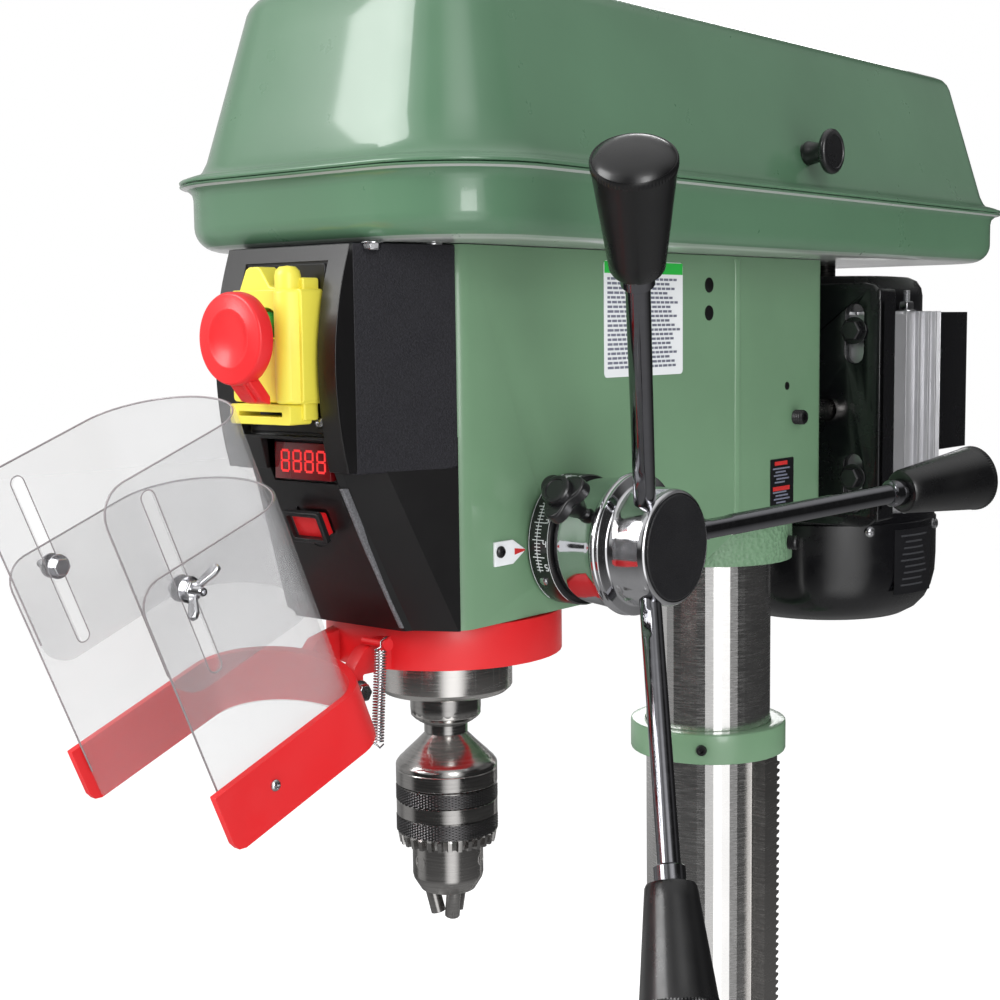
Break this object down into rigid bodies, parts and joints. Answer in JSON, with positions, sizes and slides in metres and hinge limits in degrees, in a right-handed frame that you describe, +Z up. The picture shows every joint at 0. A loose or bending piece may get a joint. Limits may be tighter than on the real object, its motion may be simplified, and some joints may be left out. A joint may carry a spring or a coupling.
{
  "type": "drill press",
  "caption": "Floor-standing drill press with a belt-driven head on a round column, a rack-raised tilting table, a geared quill feed and a clear chuck guard.",
  "frame": {"origin": "on the floor under the column, where its axis meets the underside of the base", "axes": "+Z up along the column; -Y towards the operator, so the chuck is at -Y and the motor at +Y; +X towards the feed handles"},
  "size_m": [0.3943, 0.753, 1.6663],
  "materials": {
    "green_paint": "glossy green paint",
    "red_plastic": "bright red",
    "yellow_plastic": "pale yellow",
    "green_plastic": "green",
    "black_plastic": "fine textured black",
    "black_paint": "glossy black enamel",
    "cast_iron": "ground cast iron",
    "steel": "ground steel",
    "dark_steel": "dark oiled steel",
    "chrome": "polished",
    "aluminium": "die cast",
    "rubber": "black belt rubber",
    "clear_plastic": "clear polycarbonate sheet"
  },
  "bodies": {
    "stand": {"base": "green_paint", "column_flange": "green_paint", "column": "steel", "rack_collar": "green_paint", "head_casting": "green_paint", "front_panel": "black_plastic", "switch_body": "yellow_plastic", "rpm_display": "black_plastic", "belt_pan": "green_paint", "idler_arm": "dark_steel", "belt_front": "rubber", "belt_rear": "rubber", "return_spring_can": "black_paint"},
    "rack": {"rack": "steel"},
    "table_bracket": {"table_bracket": "green_paint"},
    "crank": {"crank_shaft": "steel", "crank_arm": "green_paint"},
    "crank_grip": {"crank_grip": "black_plastic"},
    "column_lock": {"column_lock_lever": "black_paint"},
    "table_support": {"table_support": "green_paint"},
    "table_lock": {"table_lock_lever": "black_paint"},
    "table": {"table": "cast_iron"},
    "quill": {"quill": "steel", "guard_ring": "red_plastic", "guard_spring": "steel"},
    "spindle": {"spindle": "steel", "chuck_body": "dark_steel"},
    "chuck_sleeve": {"chuck_sleeve": "dark_steel"},
    "jaw_1": {"chuck_jaw_1": "steel"},
    "jaw_2": {"chuck_jaw_2": "steel"},
    "jaw_3": {"chuck_jaw_3": "steel"},
    "feed": {"feed_shaft": "steel", "feed_hub": "chrome", "feed_handle_1": "chrome", "feed_handle_2": "chrome", "feed_handle_3": "chrome", "feed_knob_1": "black_plastic", "feed_knob_2": "black_plastic", "feed_knob_3": "black_plastic"},
    "depth_ring": {"depth_ring": "black_plastic"},
    "depth_lock": {"depth_lock_knob": "black_plastic"},
    "chuck_guard": {"guard_frame": "red_plastic", "guard_shield": "clear_plastic"},
    "shield_extension": {"shield_extension": "clear_plastic"},
    "spindle_pulley": {"spindle_pulley": "aluminium"},
    "idler_pulley": {"idler_pulley": "aluminium"},
    "motor": {"motor_body": "aluminium", "motor_bottom_bell": "black_paint", "motor_top_bell": "black_paint", "motor_box": "black_paint", "motor_plate": "black_paint", "slide_bar_left": "steel", "slide_bar_right": "steel"},
    "motor_rotor": {"motor_rotor": "steel", "motor_pulley": "aluminium"},
    "lid": {"belt_lid": "green_paint", "lid_knob": "black_plastic"},
    "stop_paddle": {"stop_paddle": "red_plastic"},
    "start_button": {"start_button": "green_plastic"},
    "light_switch": {"light_switch": "red_plastic"}
  },
  "joints": [
    {"name": "table_swing", "type": "hinge", "parent": "stand", "child": "rack", "pos_m": [0, 0, 0.7], "axis": [0, 0, 1], "range_deg": [-120, 120]},
    {"name": "table_lift", "type": "slide", "parent": "rack", "child": "table_bracket", "axis": [0, 0, 1], "range_m": [-0.42, 0.12]},
    {"name": "crank_turn", "type": "hinge", "parent": "table_bracket", "child": "crank", "pos_m": [0.06, 0, 0.716], "axis": [1, 0, 0], "range_deg": [-5100, 1500]},
    {"name": "grip_spin", "type": "hinge", "parent": "crank", "child": "crank_grip", "pos_m": [0.15, 0, 0.606], "axis": [1, 0, 0], "continuous": true},
    {"name": "column_lock_turn", "type": "hinge", "parent": "table_bracket", "child": "column_lock", "pos_m": [-0.064, 0.03, 0.732], "axis": [0, 1, 0], "range_deg": [-100, 0]},
    {"name": "table_tilt", "type": "hinge", "parent": "table_bracket", "child": "table_support", "pos_m": [0, -0.09, 0.726], "axis": [0, 1, 0], "range_deg": [-45, 45]},
    {"name": "table_lock_turn", "type": "hinge", "parent": "table_support", "child": "table_lock", "pos_m": [0.03, -0.256, 0.748], "axis": [1, 0, 0], "range_deg": [-40, 15]},
    {"name": "table_turn", "type": "hinge", "parent": "table_support", "child": "table", "pos_m": [0, -0.256, 0.78], "axis": [0, 0, 1], "range_deg": [-180, 180]},
    {"name": "quill_feed", "type": "slide", "parent": "stand", "child": "quill", "axis": [0, 0, -1], "range_m": [0, 0.08]},
    {"name": "feed_turn", "type": "hinge", "parent": "stand", "child": "feed", "pos_m": [0.06, -0.228, 1.3935], "axis": [1, 0, 0], "range_deg": [0, 364], "stiffness_Nm_per_rad": 0.3, "springref_deg": -229.18},
    {"name": "depth_ring_turn", "type": "hinge", "parent": "feed", "child": "depth_ring", "pos_m": [0.068, -0.228, 1.3935], "axis": [1, 0, 0], "continuous": true},
    {"name": "depth_lock_turn", "type": "hinge", "parent": "feed", "child": "depth_lock", "pos_m": [0.09, -0.228, 1.3935], "axis": [0, -0.8434, 0.5373], "continuous": true},
    {"name": "motor_spin", "type": "hinge", "parent": "motor", "child": "motor_rotor", "pos_m": [0, 0.15, 1.45], "axis": [0, 0, 1], "continuous": true},
    {"name": "idler_spin", "type": "hinge", "parent": "stand", "child": "idler_pulley", "pos_m": [0, -0.062, 1.577], "axis": [0, 0, 1], "continuous": true},
    {"name": "pulley_spin", "type": "hinge", "parent": "stand", "child": "spindle_pulley", "pos_m": [0, -0.256, 1.577], "axis": [0, 0, 1], "continuous": true},
    {"name": "spindle_spin", "type": "hinge", "parent": "quill", "child": "spindle", "pos_m": [0, -0.256, 1.3], "axis": [0, 0, 1], "continuous": true},
    {"name": "chuck_sleeve_turn", "type": "hinge", "parent": "spindle", "child": "chuck_sleeve", "pos_m": [0, -0.256, 1.246], "axis": [0, 0, 1], "range_deg": [-510, 1020]},
    {"name": "jaw_slide_1", "type": "slide", "parent": "spindle", "child": "jaw_1", "axis": [0, 0.2419, 0.9703], "range_m": [-0.003, 0.006]},
    {"name": "jaw_slide_2", "type": "slide", "parent": "spindle", "child": "jaw_2", "axis": [-0.2095, -0.121, 0.9703], "range_m": [-0.003, 0.006]},
    {"name": "jaw_slide_3", "type": "slide", "parent": "spindle", "child": "jaw_3", "axis": [0.2095, -0.121, 0.9703], "range_m": [-0.003, 0.006]},
    {"name": "guard_swing", "type": "hinge", "parent": "quill", "child": "chuck_guard", "pos_m": [-0.0062, -0.33476, 1.327], "axis": [0.9969, -0.0785, 0], "range_deg": [0, 157.6], "deforming": ["guard_spring"]},
    {"name": "shield_slide", "type": "slide", "parent": "chuck_guard", "child": "shield_extension", "axis": [-0.0299, -0.3799, 0.9245], "range_m": [-0.02, 0.04]},
    {"name": "lid_swing", "type": "hinge", "parent": "stand", "child": "lid", "pos_m": [-0.1125, -0.07, 1.574], "axis": [0, -1, 0], "range_deg": [0, 95]},
    {"name": "motor_slide", "type": "slide", "parent": "stand", "child": "motor", "axis": [0, 1, 0], "range_m": [-0.008, 0.005], "deforming": ["belt_rear"]},
    {"name": "stop_paddle_swing", "type": "hinge", "parent": "stand", "child": "stop_paddle", "pos_m": [0.0075, -0.3875, 1.47], "axis": [1, 0, 0], "range_deg": [0, 50]},
    {"name": "start_button_press", "type": "slide", "parent": "stand", "child": "start_button", "axis": [0, 1, 0], "range_m": [0, 0.0015], "stiffness_N_per_m": 400, "springref_m": -0.002},
    {"name": "light_switch_rock", "type": "hinge", "parent": "stand", "child": "light_switch", "pos_m": [0.0043, -0.3534, 1.4094], "axis": [1, 0, 0], "range_deg": [-7, 7]}
  ],
  "couplings": [
    {"joint": "crank_turn", "follows": "table_lift", "rad_per_m": 209.44},
    {"joint": "feed_turn", "follows": "quill_feed", "rad_per_m": 79.051},
    {"joint": "idler_spin", "follows": "motor_spin", "ratio": 0.39048},
    {"joint": "pulley_spin", "follows": "motor_spin", "ratio": 0.33535},
    {"joint": "spindle_spin", "follows": "motor_spin", "ratio": 0.33535},
    {"joint": "jaw_slide_1", "follows": "chuck_sleeve_turn", "m_per_rad": 0.000334},
    {"joint": "jaw_slide_2", "follows": "chuck_sleeve_turn", "m_per_rad": 0.000334},
    {"joint": "jaw_slide_3", "follows": "chuck_sleeve_turn", "m_per_rad": 0.000334}
  ]
}
